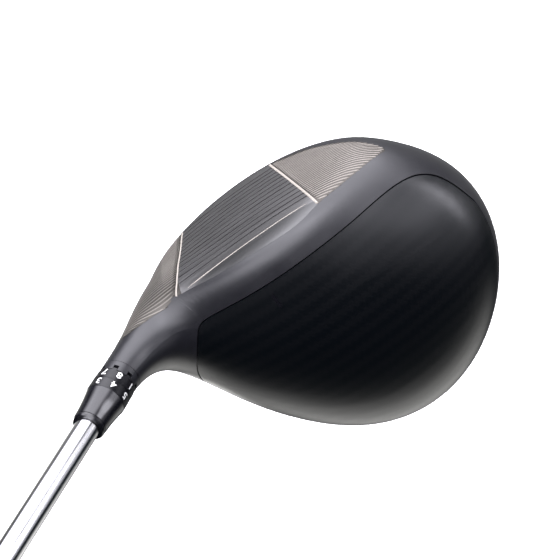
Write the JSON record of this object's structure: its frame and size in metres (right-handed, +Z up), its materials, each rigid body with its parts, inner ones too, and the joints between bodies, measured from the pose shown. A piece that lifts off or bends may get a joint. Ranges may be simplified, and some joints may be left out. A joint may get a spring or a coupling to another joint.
{
  "type": "golf driver",
  "caption": "Right-handed golf driver with a hollow black head, grooved face, adjustable hosel adapter with two toothed number rings, tapered silver shaft and rubber grip.",
  "frame": {"origin": "point where the shaft's axis meets the ground with the club at address", "axes": "+Z up, +X from the toe to the heel, -Y towards the target, the way the face looks; the shaft leans towards +X"},
  "size_m": [0.7051, 0.1099, 0.9971],
  "materials": {
    "head_titanium": "satin black",
    "face_titanium": "fine machined lines",
    "carbon_crown": "matte black carbon laminate",
    "adhesive": "dark adhesive",
    "weight_steel": "blasted",
    "screw_steel": "blackened",
    "black_alloy": "black anodised",
    "sleeve_alloy": "anodised",
    "epoxy": "cured",
    "ferrule_plastic": "polished black",
    "lip_plastic": "polished black",
    "shaft_finish": "bright silver coating over carbon laminate",
    "plug_plastic": "moulded",
    "washer_alloy": "turned",
    "clip_plastic": "natural nylon",
    "tape": "paper tape",
    "grip_rubber": "moulded grip pattern",
    "cap_rubber": "moulded"
  },
  "bodies": {
    "head": {"head_body": "head_titanium", "face_plate": "face_titanium", "crown_panel": "carbon_crown", "crown_bond": "adhesive"},
    "weight": {"rear_weight": "weight_steel"},
    "weight_screw": {"rear_weight_screw": "screw_steel"},
    "hosel_screw": {"hosel_screw": "screw_steel", "screw_washer": "washer_alloy", "screw_clip": "clip_plastic"},
    "shaft_assembly": {"adapter_sleeve": "sleeve_alloy", "loft_ring": "black_alloy", "lie_ring": "black_alloy", "tip_bond": "epoxy", "ferrule": "ferrule_plastic", "ferrule_lip": "lip_plastic", "shaft": "shaft_finish", "tip_plug": "plug_plastic", "grip_tape": "tape", "grip_sleeve": "grip_rubber", "grip_cap": "cap_rubber"}
  },
  "joints": [
    {"name": "shaft_pull", "type": "slide", "parent": "head", "child": "shaft_assembly", "axis": [0.515, 0, 0.8572], "range_m": [0, 0.045]},
    {"name": "hosel_screw_turn", "type": "hinge", "parent": "head", "child": "hosel_screw", "pos_m": [0.01236, 0, 0.02057], "axis": [0.515, 0, 0.8572], "continuous": true},
    {"name": "weight_pull", "type": "slide", "parent": "head", "child": "weight", "axis": [0.0768, 0.5618, -0.8237], "range_m": [0, 0.012]},
    {"name": "weight_screw_turn", "type": "hinge", "parent": "weight", "child": "weight_screw", "pos_m": [-0.033, 0.08674, 0.01194], "axis": [0.0768, 0.5618, -0.8237], "continuous": true}
  ]
}
